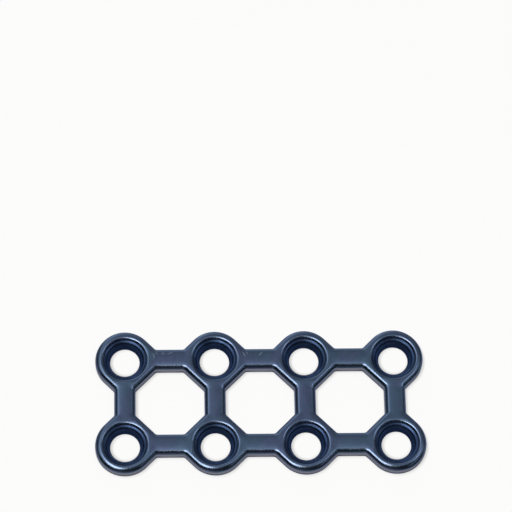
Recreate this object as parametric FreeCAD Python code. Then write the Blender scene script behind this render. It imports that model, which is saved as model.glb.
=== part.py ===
import FreeCAD, Part
import math
import os

# Grid mini plate for bone, two rows of four screw holes, milled from one flat titanium sheet.
# Millimetres. +X runs along the four columns, +Y across the two rows, +Z out of the bone side.
# The origin is the middle of the flat underside, which lies on the bone at z = 0.

# The grid of screw holes
columns = 4
rows = 2
column_pitch = 7.0
row_pitch = 7.0

# The sheet and the bars that tie the eyelets together
plate_thickness = 1.0
bar_width = 1.65
flare_angle = 45.0  # degrees between a bar and the straight flank that widens it into the eyelet
corner_round = 0.3  # plan radius where a flank meets the straight side of a bar

# Edges after milling and tumbling
edge_round = 0.37  # upper edges, outside and in the windows
under_break = 0.1  # lower edges of the outline and the windows, broken at 45 degrees

# One screw hole, for a 2.0 mm bone screw with a low head. From the bone side up it is a straight
# bore, a tapered throat, a dished seat that carries the head, and a low steep wall with a broken rim.
hole_diameter = 2.3
bore_height = 0.2
seat_inner_diameter = 2.84
seat_inner_height = 0.75
seat_outer_diameter = 3.3
seat_outer_height = 0.81
recess_diameter = 3.5  # where the recess wall would meet the upper face with a sharp rim
rim_break = 0.16
crest_width = 0.02  # flat ring left between the broken rim and the rounded outside

hole_radius = hole_diameter / 2
recess_radius = recess_diameter / 2
eyelet_radius = recess_radius + rim_break + crest_width + edge_round
flare = math.radians(flare_angle)
flare_reach = (eyelet_radius - bar_width / 2 * math.cos(flare)) / math.sin(flare)


def vector(x, y, z=0.0):
    return FreeCAD.Vector(x, y, z)


def hole_centre(column, row):
    x = (column - (columns - 1) / 2) * column_pitch
    y = (row - (rows - 1) / 2) * row_pitch
    return vector(x, y)


def hole_centres():
    return [hole_centre(column, row) for column in range(columns) for row in range(rows)]


def neighbours():
    """Each pair of hole centres that a bar ties together."""
    along = [(hole_centre(c, r), hole_centre(c + 1, r)) for c in range(columns - 1) for r in range(rows)]
    across = [(hole_centre(c, r), hole_centre(c, r + 1)) for c in range(columns) for r in range(rows - 1)]
    return along + across


def flare_corners(start, end):
    """The four plan points where a bar's straight sides end and its flanks begin."""
    along = (end - start).normalize()
    aside = vector(-along.y, along.x)
    corners = []
    for centre, inward in ((start, along), (end, along * -1)):
        for side in (-1, 1):
            corners.append(centre + inward * flare_reach + aside * (side * bar_width / 2))
    return corners


def bar_blank(start, end):
    """A straight bar whose ends flare out along flanks tangent to both eyelets."""
    along = (end - start).normalize()
    aside = vector(-along.y, along.x)
    length = (end - start).Length
    tangent_along = eyelet_radius * math.sin(flare)
    tangent_aside = eyelet_radius * math.cos(flare)
    upper_side = [
        (tangent_along, tangent_aside),
        (flare_reach, bar_width / 2),
        (length - flare_reach, bar_width / 2),
        (length - tangent_along, tangent_aside),
    ]
    lower_side = [(u, -v) for u, v in reversed(upper_side)]
    outline = [start + along * u + aside * v for u, v in upper_side + lower_side]
    face = Part.Face(Part.makePolygon(outline + outline[:1]))
    return face.extrude(vector(0, 0, plate_thickness))


def eyelet_blank(centre):
    return Part.makeCylinder(eyelet_radius, plate_thickness, centre)


def edges_where(shape, test):
    """Edges whose every sampled point passes the test."""
    return [edge for edge in shape.Edges if all(test(point) for point in edge.discretize(3))]


def at_height(height):
    return lambda point: abs(point.z - height) < 1e-6


def upright_at(corners):
    def test(point):
        flat = vector(point.x, point.y)
        return any(flat.distanceToPoint(corner) < 1e-6 for corner in corners)
    return test


def at_rim(point):
    """Passes points on the sharp circles that the recesses cut in the upper face."""
    flat = vector(point.x, point.y)
    nearest = min(flat.distanceToPoint(centre) for centre in hole_centres())
    return at_height(plate_thickness)(point) and abs(nearest - recess_radius) < 1e-6


def plate_blank():
    """The flat grid with its rounded corners and edges, before the holes."""
    eyelets = [eyelet_blank(centre) for centre in hole_centres()]
    bars = [bar_blank(start, end) for start, end in neighbours()]
    grid = eyelets[0].multiFuse(eyelets[1:] + bars).removeSplitter()
    corners = [corner for start, end in neighbours() for corner in flare_corners(start, end)]
    grid = grid.makeFillet(corner_round, edges_where(grid, upright_at(corners)))
    grid = grid.makeFillet(edge_round, edges_where(grid, at_height(plate_thickness)))
    return grid.makeChamfer(under_break, edges_where(grid, at_height(0.0)))


def hole_cutter():
    """Half section of one screw hole, from the bone side up, turned about the hole's axis."""
    wall = [
        (hole_radius, 0),
        (hole_radius, bore_height),
        (seat_inner_diameter / 2, seat_inner_height),
        (seat_outer_diameter / 2, seat_outer_height),
        (recess_radius, plate_thickness),
    ]
    section = [(0, 0)] + wall + [(0, plate_thickness)]
    outline = [vector(radius, 0, height) for radius, height in section]
    face = Part.Face(Part.makePolygon(outline + outline[:1]))
    return face.revolve(vector(0, 0, 0), vector(0, 0, 1), 360)


def bone_plate():
    cutter = hole_cutter()
    cutters = [cutter.translated(centre) for centre in hole_centres()]
    plate = plate_blank().cut(cutters)
    return plate.makeChamfer(rim_break, edges_where(plate, at_rim))


os.makedirs("parts", exist_ok=True)
bone_plate().exportStep("parts/bone_plate.step")
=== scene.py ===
import math

import bmesh
import bpy
from mathutils import Matrix, Vector


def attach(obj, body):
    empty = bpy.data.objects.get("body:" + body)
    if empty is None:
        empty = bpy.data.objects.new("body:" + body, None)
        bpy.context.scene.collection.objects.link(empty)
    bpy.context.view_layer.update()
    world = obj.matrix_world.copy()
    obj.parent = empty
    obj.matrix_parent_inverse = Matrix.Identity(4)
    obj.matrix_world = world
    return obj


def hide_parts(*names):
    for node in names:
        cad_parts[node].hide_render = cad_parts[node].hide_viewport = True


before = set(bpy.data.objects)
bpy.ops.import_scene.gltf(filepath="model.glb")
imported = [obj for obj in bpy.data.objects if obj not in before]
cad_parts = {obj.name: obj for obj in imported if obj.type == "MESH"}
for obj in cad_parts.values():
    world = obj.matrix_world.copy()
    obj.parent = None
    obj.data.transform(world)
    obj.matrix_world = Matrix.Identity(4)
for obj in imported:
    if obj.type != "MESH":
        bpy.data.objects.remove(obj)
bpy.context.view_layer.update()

# A grid mini plate for bone, two rows of four screw eyelets, milled from one titanium sheet, tumbled
# and anodised blue. It lies on a white table under a softbox, with a warm lamp above its left and
# three weak fill lamps. Sizes are named in millimetres, as in the part's source, and the finished
# meshes are in metres.

MM = 0.001

# The grid of screw eyelets
COLUMNS = 4
ROWS = 2
PITCH = 7.0
EYELET_RADIUS = 2.3

# The sheet, the bars and the flanks that widen a bar into its eyelet
THICKNESS = 1.0
BAR_WIDTH = 1.65
FLARE = math.radians(45)
CORNER_ROUND = 0.3
UNDER_BREAK = 0.1

# The rounded upper edges, which start in a slight slope
EDGE_ROUND = 0.37
EDGE_TILT = math.radians(5)
FREE_ROUND = 0.42  # the same edge on an eyelet's free side
FREE_TILT = math.radians(12)
FREE_FROM = math.radians(45)  # angles off the nearest bar between which the free side sets in
FREE_FULL = math.radians(70)
FAR_SHARE = 0.5  # how much of its depth an edge loses where it faces the far side

# The crown that tumbling leaves on the bars, and where along a bar it sets in and is full
CROWN = 0.02
CROWN_FROM = EYELET_RADIUS - EDGE_ROUND + 0.02  # just outside the eyelet's flat ring
CROWN_FULL = PITCH / 2 - 1.0  # 1 mm short of the bar's middle
CROWN_CUTS = 3  # cuts along the bar on each side of its middle line

# One screw hole, from the bone side up
MOUTH_BREAK = 0.03
HOLE_RADIUS = 1.15
BORE_HEIGHT = 0.2
SEAT_INNER_RADIUS = 1.42
SEAT_INNER_HEIGHT = 0.75
SEAT_INNER_ROUND = 0.13
SEAT_OUTER_RADIUS = 1.65
SEAT_OUTER_HEIGHT = 0.81
RIM_RADIUS = 1.735
RIM_HEIGHT = 0.962
CREST_RADIUS = 1.86
SMALL_ROUND = 0.05  # the bore's, the wall's and the rim's corners

# How finely the curves are cut
QUARTER_STEPS = 32
EDGE_STEPS = 10
CORNER_STEPS = 8
FLANK_STEPS = 10
BORE_STEPS = 4
SEAT_STEPS = 10
WALL_STEPS = 6
RIM_STEPS = 8

UP = Vector((0, 0, 1))
MERGE = 0.0005  # points closer than this are one, and heights closer than this are level


def linear(code):
    """The linear colour of an sRGB hex value."""
    parts = [int(code[i:i + 2], 16) / 255 for i in (1, 3, 5)]
    return [c / 12.92 if c <= 0.04045 else ((c + 0.055) / 1.055) ** 2.4 for c in parts] + [1.0]


def add_node(tree, kind, settings=None, **inputs):
    """Adds a node. An input is a socket's name, or _ and its number, and its value is a number, a
    colour or another node's output."""
    node = tree.nodes.new(kind)
    for name, value in (settings or {}).items():
        setattr(node, name, value)
    for name, value in inputs.items():
        key = int(name[1:]) if name[0] == "_" else name.replace("_", " ")
        if isinstance(value, bpy.types.NodeSocket):
            tree.links.new(value, node.inputs[key])
        else:
            node.inputs[key].default_value = value
    return node


def smooth(value):
    """Eases from 0 at 0 to 1 at 1 and holds on both sides."""
    share = min(max(value, 0), 1)
    return share * share * (3 - 2 * share)


# The plate's mesh is made of sections swept round each eyelet and along each bar


def only_verts(geom):
    return [g for g in geom if isinstance(g, bmesh.types.BMVert)]


def only_edges(geom):
    return [g for g in geom if isinstance(g, bmesh.types.BMEdge)]


def chain(bm, corners):
    """A run of edges through the section's corners, at angle 0. A corner is (radius, height), and a
    rounded one is (radius, height, how far from it its rounding starts, steps). A rounding that takes a
    whole run ends the chain."""
    points = [Vector((corner[0], 0, corner[1])) for corner in corners]
    last = bm.verts.new(points[0])
    for index in range(1, len(points)):
        here = points[index]
        reach, steps = corners[index][2:] or (0, 0)
        back = (points[index - 1] - here).normalized()
        last = bmesh.ops.extrude_vert_indiv(bm, verts=[last])["verts"][0]
        last.co = here + back * reach
        if not reach:
            continue
        on = (points[index + 1] - here).normalized()
        half = back.angle(on) / 2
        centre = here + (back + on).normalized() * (reach / math.cos(half))
        out = bmesh.ops.spin(bm, geom=[last], cent=centre, axis=on.cross(back), angle=math.pi - 2 * half,
                             steps=steps)
        last = only_verts(out["geom_last"])[0]
        if (points[index + 1] - last.co).length < MERGE:
            break


def eyelet_section(bm):
    """The hole's side of the section: mouth, bore, throat, seat for the head, recess wall and rim."""
    chain(bm, [
        (HOLE_RADIUS + MOUTH_BREAK, 0),
        (HOLE_RADIUS, MOUTH_BREAK),
        (HOLE_RADIUS, BORE_HEIGHT, SMALL_ROUND, BORE_STEPS),
        (SEAT_INNER_RADIUS, SEAT_INNER_HEIGHT, SEAT_INNER_ROUND, SEAT_STEPS),
        (SEAT_OUTER_RADIUS, SEAT_OUTER_HEIGHT, SMALL_ROUND, WALL_STEPS),
        (RIM_RADIUS, RIM_HEIGHT, SMALL_ROUND, RIM_STEPS),
        (CREST_RADIUS, THICKNESS),
    ])


def outer_section(bm):
    """The outside of the section: lower break, wall and the rounded upper edge, which starts with a slight
    slope."""
    shoulder = THICKNESS - EDGE_ROUND * math.tan(EDGE_TILT)
    chain(bm, [
        (EYELET_RADIUS - UNDER_BREAK, 0),
        (EYELET_RADIUS, UNDER_BREAK),
        (EYELET_RADIUS, shoulder, EDGE_ROUND / math.cos(EDGE_TILT), EDGE_STEPS),
        (EYELET_RADIUS - EDGE_ROUND, THICKNESS),
    ])


def section(make, angle):
    """A section as its own small mesh, turned to stand at that angle."""
    bm = bmesh.new()
    make(bm)
    bmesh.ops.remove_doubles(bm, verts=bm.verts, dist=MERGE)
    bmesh.ops.rotate(bm, verts=bm.verts, cent=(0, 0, 0), matrix=Matrix.Rotation(angle, 3, "Z"))
    return bm


def turned(bm, edges, centre, angle, steps):
    """Sweeps edges round an upright axis and gives the last copy's edges."""
    verts = list({vert for edge in edges for vert in edge.verts})
    out = bmesh.ops.spin(bm, geom=verts + edges, cent=centre, axis=UP, angle=angle, steps=steps)
    return only_edges(out["geom_last"])


def pulled(bm, edges, way):
    """Sweeps edges straight along a way and gives the last copy's edges."""
    out = bmesh.ops.extrude_edge_only(bm, edges=edges)
    bmesh.ops.translate(bm, verts=only_verts(out["geom"]), vec=way)
    return only_edges(out["geom"])


def outline_to_bar(bm):
    """The outer section swept from the eyelet's 45 degree ray down the flank to the bar's middle."""
    half = BAR_WIDTH / 2
    tangent = Vector((math.cos(FLARE), math.sin(FLARE), 0)) * EYELET_RADIUS
    flank = Vector((math.sin(FLARE), -math.cos(FLARE), 0))
    corner = tangent + flank * ((tangent.y - half) / math.cos(FLARE))
    cut = CORNER_ROUND * math.tan(FLARE / 2)
    centre = Vector((corner.x + cut, half + CORNER_ROUND, 0))
    edges = bm.edges[:]
    for _ in range(FLANK_STEPS):
        edges = pulled(bm, edges, flank * (((corner - tangent).length - cut) / FLANK_STEPS))
    edges = turned(bm, edges, centre, FLARE, CORNER_STEPS)
    pulled(bm, edges, Vector((PITCH / 2 - corner.x - cut, 0, 0)))


def joined_edges(bm, ends):
    """The new edge between the vertices nearest to two points."""
    verts = [min(bm.verts, key=lambda vert: (vert.co - point).length_squared) for point in ends]
    return only_edges(bmesh.ops.contextual_create(bm, geom=verts)["edges"])


def fill_flat(bm, height, inner, inset, joined):
    """Closes the flat at a height, from the hole's circle of radius inner to the outline less its inset."""
    flat = [edge for edge in bm.edges
            if edge.is_boundary and all(abs(vert.co.z - height) < MERGE for vert in edge.verts)]
    for side in (-1, 1):
        ray = Vector((math.cos(FLARE), -side * math.sin(FLARE), 0))
        flat += joined_edges(bm, [ray * inner + UP * height, ray * (EYELET_RADIUS - inset) + UP * height])
    if joined:
        half = BAR_WIDTH / 2 - inset
        flat += joined_edges(bm, [Vector((PITCH / 2, side * half, height)) for side in (-1, 1)])
    bmesh.ops.edgeloop_fill(bm, edges=flat)


def eyelet_side(joined):
    """A quarter of an eyelet, 45 degrees each way from +X, with half a bar on it when joined."""
    bm = section(eyelet_section, -FLARE)
    turned(bm, bm.edges[:], (0, 0, 0), 2 * FLARE, QUARTER_STEPS)
    outside = section(outer_section, FLARE if joined else -FLARE)
    if joined:
        outline_to_bar(outside)
        twin = bmesh.ops.duplicate(outside, geom=outside.verts[:] + outside.edges[:] + outside.faces[:])
        bmesh.ops.scale(outside, verts=only_verts(twin["geom"]), vec=(1, -1, 1))
    else:
        turned(outside, outside.edges[:], (0, 0, 0), 2 * FLARE, QUARTER_STEPS)
    copy_in(bm, outside)
    fill_flat(bm, THICKNESS, CREST_RADIUS, EDGE_ROUND, joined)
    fill_flat(bm, 0, HOLE_RADIUS + MOUTH_BREAK, UNDER_BREAK, joined)
    if joined:
        crown_bar(bm)
    return bm


def crown_bar(bm):
    """Cuts the flat top of the half bar into strips and tumbles it to a slight crown, which fades out at
    the ring."""
    half = BAR_WIDTH / 2 - EDGE_ROUND
    clear = 0.01  # no cut across the bar comes closer to its ends

    def cut(faces, where, square):
        parts = set(faces)
        parts.update(edge for face in faces for edge in face.edges)
        parts.update(vert for face in faces for vert in face.verts)
        bmesh.ops.bisect_plane(bm, geom=list(parts), dist=MERGE, plane_co=where, plane_no=square)

    def bar_top():
        return [face for face in bm.faces if face.calc_center_median().x > CROWN_FROM - MERGE
                and all(abs(vert.co.z - THICKNESS) < MERGE for vert in face.verts)]

    upper = [face for face in bm.faces if face.calc_center_median().z > THICKNESS / 2]
    whole_top = max(upper, key=lambda face: len(face.verts))
    cut([whole_top], Vector((CROWN_FROM, 0, 0)), (1, 0, 0))
    stations = {round(vert.co.x, 5) for vert in bm.verts if CROWN_FROM + clear < vert.co.x < PITCH / 2 - clear
                and abs(vert.co.z - THICKNESS) < MERGE}
    for x in sorted(stations):
        cut(bar_top(), Vector((x, 0, 0)), (1, 0, 0))
    for strip in range(-CROWN_CUTS, CROWN_CUTS + 1):
        cut(bar_top(), Vector((0, strip * half / (CROWN_CUTS + 1), 0)), (0, 1, 0))
    for vert in bm.verts:
        across = min(abs(vert.co.y) / half, 1)
        depth = CROWN * smooth((vert.co.x - CROWN_FROM) / (CROWN_FULL - CROWN_FROM)) * across * across
        vert.co.z -= depth * max(vert.co.z - UNDER_BREAK, 0) / THICKNESS


def copy_in(bm, other, place=Matrix.Identity(4)):
    """Adds another bmesh to bm, at its place, and frees it."""
    bmesh.ops.transform(other, matrix=place, verts=other.verts)
    carrier = bpy.data.meshes.new("carrier")
    other.to_mesh(carrier)
    other.free()
    bm.from_mesh(carrier)
    bpy.data.meshes.remove(carrier)


def finish_upper_edges(bm):
    """Tumbling works the plate's upper outer edges unevenly: it takes a wider round off an eyelet's free
    side, which starts in a slope right at the crest, and less off the far edges."""
    bm.normal_update()
    start = EYELET_RADIUS - EDGE_ROUND
    for vert in bm.verts:
        hole = Vector([(round(c / PITCH - 0.5) + 0.5) * PITCH for c in vert.co.xy])
        spoke = vert.co.xy - hole
        if vert.co.z < THICKNESS / 2 or spoke.length < start - MERGE:
            continue
        if spoke.length < EYELET_RADIUS + MERGE:
            way = spoke.normalized()
            free = free_share(hole, way)
            along = (spoke.length - start) / EDGE_ROUND
            inset = (EYELET_RADIUS - spoke.length) * (1 + free * (FREE_ROUND / EDGE_ROUND - 1))
            vert.co.xy = hole + way * (EYELET_RADIUS - inset)
            vert.co.z -= free * math.tan(FREE_TILT - EDGE_TILT) * FREE_ROUND * along * (1 - along) ** 2
        far = vert.normal.xy
        if far.y > 0:
            vert.co.z = THICKNESS - (THICKNESS - vert.co.z) * (1 - FAR_SHARE * (far.y / far.length) ** 2)


def free_share(hole, way):
    """How much a direction from that hole's axis belongs to the eyelet's free side, from 0 to 1."""
    bars = [bar for bar in (Vector((1, 0)), Vector((0, 1)), Vector((-1, 0)), Vector((0, -1)))
            if abs(hole.x + bar.x * PITCH) < PITCH * COLUMNS / 2
            and abs(hole.y + bar.y * PITCH) < PITCH * ROWS / 2]
    off = math.acos(min(max(way.dot(bar) for bar in bars), 1))
    return smooth((off - FREE_FROM) / (FREE_FULL - FREE_FROM))


def plate_mesh():
    bm = bmesh.new()
    for column in range(COLUMNS):
        for row in range(ROWS):
            centre = Vector(((column - (COLUMNS - 1) / 2) * PITCH, (row - (ROWS - 1) / 2) * PITCH, 0))
            for turn, (across, along) in enumerate(((1, 0), (0, 1), (-1, 0), (0, -1))):
                joined = 0 <= column + across < COLUMNS and 0 <= row + along < ROWS
                place = Matrix.Translation(centre) @ Matrix.Rotation(turn * math.pi / 2, 4, "Z")
                copy_in(bm, eyelet_side(joined), place)
    bmesh.ops.remove_doubles(bm, verts=bm.verts, dist=MERGE)
    bmesh.ops.recalc_face_normals(bm, faces=bm.faces)
    finish_upper_edges(bm)
    bmesh.ops.scale(bm, verts=bm.verts, vec=(MM, MM, MM))
    for face in bm.faces:
        face.smooth = True
    mesh = bpy.data.meshes.new("bone_plate_anodised")
    bm.to_mesh(mesh)
    bm.free()
    return mesh


# Where handling has rubbed the oxide thin, on the far row of bars: middle x and y, half length and half
# width in millimetres, angle in degrees
RUBS = [
    (-7.51, 3.97, 0.2, 0.1, 10),
    (-6.89, 4.01, 0.45, 0.09, 19),
    (-8.24, 3.77, 0.34, 0.08, -78),
    (-8.05, 4.03, 0.24, 0.08, -55),
    (-1.21, 3.86, 0.38, 0.08, -60),
    (-0.98, 3.99, 0.26, 0.08, -65),
    (0.11, 3.88, 0.36, 0.08, 45),
    (6.82, 4.12, 0.22, 0.09, 30),
]

# The colours of the oxide and what shows where it is thin, with the painted shade of the seat and the throat
TEAL = linear("#4b6078")
INDIGO = linear("#4f5a79")
CLOUD = linear("#54667f")
STREAK = linear("#8f9fb6")
# worn paler oxide on the start of the rounded edges, which also paints the lamp's highlights a paler tint
WORN_AND_HIGHLIGHT_TINT = linear("#576984")
WALL_GREY = linear("#94949a")
# painted shade: the throat's and the seat's darker navy stand in for the shade of the recess
THROAT_SHADE = linear("#1a2845")
SEAT_SHADE = linear("#283854")
SEAT_SHADE_DRIFT = linear("#304264")
GRAZING = linear("#bcc4dc")  # tints what the metal mirrors at a grazing angle

SATIN = (0.19, 0.25)  # the least and the greatest roughness of the tumbled faces
SEAT_DULLNESS = 0.13  # what the cutter's marks add to it in the seat
RIPPLE_DEPTH = 0.0012  # of the ripple that tumbling leaves

# Going out, the seat's navy, which is painted shade of the recess, ends between these radii, and going up,
# the throat's darker painted shade ends between these heights
SEAT_FADE = (1.6, 1.72)
THROAT_FADE = (0.3, 0.74)


def anodised_titanium():
    """Titanium sheet, milled, tumbled satin and anodised blue. The clear oxide leaves the metal's gloss, so
    the lamps show as soft lines on the rounded edges. Its thickness wanders, which drifts the blue between
    teal and indigo. The screw seats are painted a darker navy, as shade of the recess, and the throat is
    painted darker still going down, as shade in the hole. It is grey on the milled walls, and pale on the
    start of the rounded edges, where the tumbling stones rubbed it thin; that pale band sits at the slopes
    where the left lamp's highlight falls, so it also paints the highlight a paler tint. Tumbling leaves a
    fine ripple, and handling has rubbed a few pale streaks into the far bars."""
    material = bpy.data.materials.new("anodised_titanium")
    material.use_nodes = True
    tree = material.node_tree
    shader = tree.nodes["Principled BSDF"]
    shader.inputs["Metallic"].default_value = 1.0
    shader.inputs["Specular Tint"].default_value = GRAZING
    coordinates = add_node(tree, "ShaderNodeTexCoord").outputs
    spot = add_node(tree, "ShaderNodeVectorMath", {"operation": "SCALE"}, _0=coordinates["Object"],
                    Scale=1 / MM).outputs[0]
    axes = add_node(tree, "ShaderNodeSeparateXYZ", _0=spot).outputs
    facing = add_node(tree, "ShaderNodeSeparateXYZ", _0=coordinates["Normal"]).outputs

    def maths(kind, one, other=0.0):
        return add_node(tree, "ShaderNodeMath", {"operation": kind}, _0=one, _1=other).outputs[0]

    def ramp(value, low, high, start=0.0, stop=1.0):
        return add_node(tree, "ShaderNodeMapRange", {"interpolation_type": "SMOOTHSTEP"}, Value=value,
                        From_Min=low, From_Max=high, To_Min=start, To_Max=stop).outputs[0]

    def blend(share, one, other):
        return add_node(tree, "ShaderNodeMix", {"data_type": "RGBA"}, _0=share, _6=one, _7=other).outputs[2]

    def noise(per_mm, detail):
        return add_node(tree, "ShaderNodeTexNoise", Vector=spot, Scale=per_mm, Detail=detail).outputs["Fac"]

    def from_axis(value, count):
        """Distance from the nearest column or row of hole axes."""
        moved = maths("ADD", value, PITCH * count / 2)
        return maths("SUBTRACT", maths("MODULO", moved, PITCH), PITCH / 2)

    aside, along = from_axis(axes["X"], COLUMNS), from_axis(axes["Y"], ROWS)
    radius = maths("SQRT", maths("ADD", maths("MULTIPLY", aside, aside), maths("MULTIPLY", along, along)))
    off_underside = ramp(facing["Z"], -0.9, -0.5)
    inside = maths("MULTIPLY", ramp(radius, *SEAT_FADE, 1.0, 0.0), off_underside)
    upright = ramp(maths("ABSOLUTE", facing["Z"]), 0.05, 0.5, 1.0, 0.0)

    # The oxide drifts over about 2 mm between teal and indigo, with smaller clouds over it
    oxide = blend(ramp(noise(0.55, 2.0), 0.38, 0.62), TEAL, INDIGO)
    oxide = blend(ramp(noise(2.6, 3.0), 0.3, 0.7, 0.0, 0.35), oxide, CLOUD)
    rubbed = None
    for x, y, length, width, angle in RUBS:
        local = add_node(tree, "ShaderNodeMapping", {"vector_type": "TEXTURE"}, Vector=spot,
                         Location=(x, y, THICKNESS), Rotation=(0, 0, math.radians(angle)),
                         Scale=(length, width, 1)).outputs[0]
        streak = add_node(tree, "ShaderNodeTexGradient", {"gradient_type": "SPHERICAL"}, Vector=local)
        rubbed = streak.outputs[1] if rubbed is None else maths("MAXIMUM", rubbed, streak.outputs[1])
    oxide = blend(ramp(rubbed, 0.0, 0.9, 0.0, 0.7), oxide, STREAK)

    # Where the edges start to round off, the oxide is worn paler. The band sits at the slopes where the left
    # lamp's highlight falls, so it also paints that highlight a paler tint
    worn_and_highlight_band = maths("MULTIPLY", ramp(facing["Z"], 0.97, 0.9985, 1.0, 0.0), ramp(facing["Z"], 0.86, 0.93))
    oxide = blend(worn_and_highlight_band, oxide, WORN_AND_HIGHLIGHT_TINT)

    # The seat is painted a darker navy as shade of the recess, and the throat darker still going down, as
    # painted shade in the hole
    seat = blend(ramp(noise(0.9, 1.0), 0.4, 0.6), SEAT_SHADE, SEAT_SHADE_DRIFT)
    seat = blend(ramp(axes["Z"], *THROAT_FADE), THROAT_SHADE, seat)
    shade = blend(inside, blend(upright, oxide, WALL_GREY), seat)
    tree.links.new(shade, shader.inputs["Base Color"])

    duller = maths("MULTIPLY", inside, SEAT_DULLNESS)
    gloss = maths("ADD", ramp(noise(1.7, 3.0), 0.3, 0.7, *SATIN), duller)
    tree.links.new(gloss, shader.inputs["Roughness"])
    ripple = add_node(tree, "ShaderNodeBump", Strength=1.0, Distance=RIPPLE_DEPTH * MM,
                      Height=noise(3.0, 2.0))
    tree.links.new(ripple.outputs[0], shader.inputs["Normal"])
    return material


plate = bpy.data.objects.new("bone_plate_anodised", plate_mesh())
bpy.context.scene.collection.objects.link(plate)
plate.data.materials.append(anodised_titanium())
weights = plate.modifiers.new("flat_faces_stay_flat", "WEIGHTED_NORMAL")
weights.mode = "FACE_AREA"
weights.weight = 50
weights.keep_sharp = False
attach(plate, "root")
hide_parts("bone_plate")


# The stage: table, camera, lamps and room

TABLE_SIZE = 4  # metres
TABLE_GLOW = 0.9  # the share of the card's colour that is glow, for the camera
TABLE_MIRRORED = 0.3  # and how much of that the plate mirrors
SHADOW_REACH = 0.3  # millimetres beside the plate
SHADOW_GLOW = 0.4  # what is left of the glow in the deepest shadow


def table():
    """White coated card. The glow that keeps it white fades beside the plate, on the side away from the left
    lamp, and so paints the plate's shadow."""
    bpy.ops.mesh.primitive_plane_add(size=TABLE_SIZE)
    top = bpy.context.object
    top.name = "table_top"
    material = bpy.data.materials.new("white_card")
    material.use_nodes = True
    tree = material.node_tree
    card = tree.nodes["Principled BSDF"]
    card.inputs["Base Color"].default_value = (0.87, 0.87, 0.87, 1)
    card.inputs["Roughness"].default_value = 0.9
    card.inputs["Specular IOR Level"].default_value = 0.2
    path = add_node(tree, "ShaderNodeLightPath").outputs
    mirrored = add_node(tree, "ShaderNodeMath", {"operation": "MULTIPLY"}, _0=path["Is Glossy Ray"],
                        _1=TABLE_MIRRORED)
    seen = add_node(tree, "ShaderNodeMath", {"operation": "MAXIMUM"}, _0=path["Is Camera Ray"],
                    _1=mirrored.outputs[0]).outputs[0]
    share = add_node(tree, "ShaderNodeMath", {"operation": "MULTIPLY"}, _0=seen, _1=TABLE_GLOW)
    # The painted shadow: the glow dims where the plate hides the sky on the left lamp's side
    toward_lamp = add_node(tree, "ShaderNodeCombineXYZ", _0=-0.7, _1=-0.4, _2=0.6)
    open_sky = add_node(tree, "ShaderNodeAmbientOcclusion", {"samples": 8}, Distance=SHADOW_REACH * MM,
                        Normal=toward_lamp.outputs[0])
    dimmed = add_node(tree, "ShaderNodeMapRange", Value=open_sky.outputs["AO"], To_Min=SHADOW_GLOW).outputs[0]
    glow = add_node(tree, "ShaderNodeEmission", Color=(1, 1, 1, 1), Strength=dimmed)
    mixed = add_node(tree, "ShaderNodeMixShader", _0=share.outputs[0], _1=card.outputs[0], _2=glow.outputs[0])
    tree.links.new(mixed.outputs[0], tree.nodes["Material Output"].inputs["Surface"])
    top.data.materials.append(material)


# The photograph's view, fitted to the screw holes. The aim and the distance are in millimetres, and the
# lens and the sensor are the camera's own.
ELEVATION = math.radians(67.0)
YAW = math.radians(5.265)
ROLL = math.radians(4.46)
AIM = Vector((-1.207, 12.511, 0))
CAMERA_DISTANCE = 222.91
LENS = 196.875
SENSOR = 36


def camera():
    """A long lens from 67 degrees up, a little left of square to the rows and turned back level."""
    data = bpy.data.cameras.new("camera")
    data.lens = LENS
    data.sensor_width = SENSOR
    data.clip_start, data.clip_end = 0.01, 10
    holder = bpy.data.objects.new("camera", data)
    back = Vector((0, -math.cos(ELEVATION), math.sin(ELEVATION)))
    place = Matrix.Translation(AIM * MM + back * CAMERA_DISTANCE * MM)
    tilt = Matrix.Rotation(math.pi / 2 - ELEVATION, 4, "X")
    holder.matrix_world = Matrix.Rotation(-YAW, 4, "Z") @ place @ tilt @ Matrix.Rotation(ROLL, 4, "Z")
    bpy.context.scene.collection.objects.link(holder)
    bpy.context.scene.camera = holder


# Name, direction from the plate, distance, width and height in metres, watts and colour
LAMPS = [
    ("left_lamp", (-0.29, -0.21, 0.935), 0.5, 0.2, 0.2, 1.0, (1, 0.88, 0.74)),
    ("left_fill", (-0.36, 0.36, 0.86), 0.5, 0.12, 0.15, 0.03, (1, 1, 1)),
    ("right_lamp", (0.42, 0.1, 0.9), 0.5, 0.1, 0.1, 0.07, (1, 1, 1)),
    ("right_fill", (0.65, -0.4, 0.65), 0.6, 0.3, 0.2, 0.1, (1, 1, 1)),
]


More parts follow.
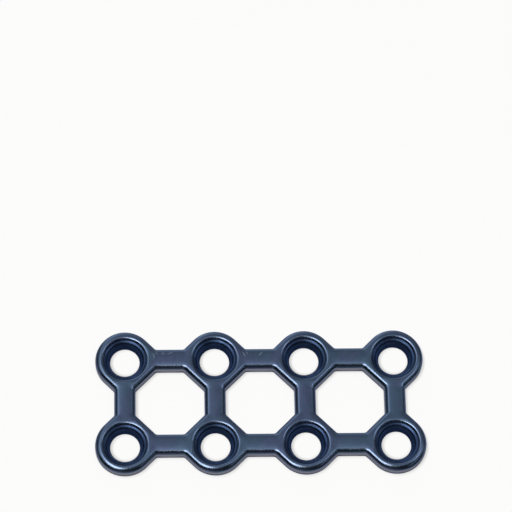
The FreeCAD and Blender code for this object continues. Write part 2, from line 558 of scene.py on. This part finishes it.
def lamp(name, direction, distance, width, height, power, colour):
    """An area lamp that faces the plate from that direction."""
    data = bpy.data.lights.new(name, "AREA")
    data.shape = "RECTANGLE"
    data.size, data.size_y = width, height
    data.energy = power
    data.color = colour
    holder = bpy.data.objects.new(name, data)
    toward = Vector(direction).normalized()
    holder.location = toward * distance
    holder.rotation_euler = toward.to_track_quat("Z", "Y").to_euler()
    bpy.context.scene.collection.objects.link(holder)


# The room's light is the product of two runs of (direction's X or Y, level): across from left to right,
# and along from the camera's side to the far side
ACROSS = [
    (-0.95, 0.15), (-0.72, 0.45), (-0.48, 1.6), (-0.27, 1.8),
    (-0.08, 1.15), (0.18, 0.8), (0.62, 0.65), (0.9, 0.3),
]
ALONG = [
    (-1.0, 0.26), (-0.75, 0.07), (-0.45, 0.05), (-0.15, 0.13), (0.0, 1.25),
    (0.14, 1.4), (0.29, 0.6), (0.6, 0.42), (0.84, 0.6), (1.0, 1.2),
]


def room():
    """A light tent: a softbox above the plate, brightest a little to the left, and a bright far horizon.
    It is dark on the camera's side and at the left and right ends."""
    world = bpy.data.worlds.new("room")
    bpy.context.scene.world = world
    world.use_nodes = True
    tree = world.node_tree
    direction = add_node(tree, "ShaderNodeTexCoord").outputs["Generated"]
    way = add_node(tree, "ShaderNodeSeparateXYZ", _0=direction).outputs

    def falloff(value, stops):
        unit = add_node(tree, "ShaderNodeMapRange", Value=value, From_Min=-1.0, From_Max=1.0).outputs[0]
        ramp = add_node(tree, "ShaderNodeValToRGB", _0=unit)
        ramp.color_ramp.interpolation = "EASE"
        points = ramp.color_ramp.elements
        while len(points) < len(stops):
            points.new(0.5)
        for point, (place, level) in zip(points, stops):
            point.position = (place + 1) / 2
            point.color = (level, level, level, 1)
        return ramp.outputs["Color"]

    both = add_node(tree, "ShaderNodeMath", {"operation": "MULTIPLY"}, _0=falloff(way["X"], ACROSS),
                    _1=falloff(way["Y"], ALONG))
    tree.nodes["Background"].inputs["Color"].default_value = (1, 1, 1, 1)
    tree.links.new(both.outputs[0], tree.nodes["Background"].inputs["Strength"])


table()
camera()
for settings in LAMPS:
    lamp(*settings)
room()
bpy.context.scene.view_settings.view_transform = "Standard"
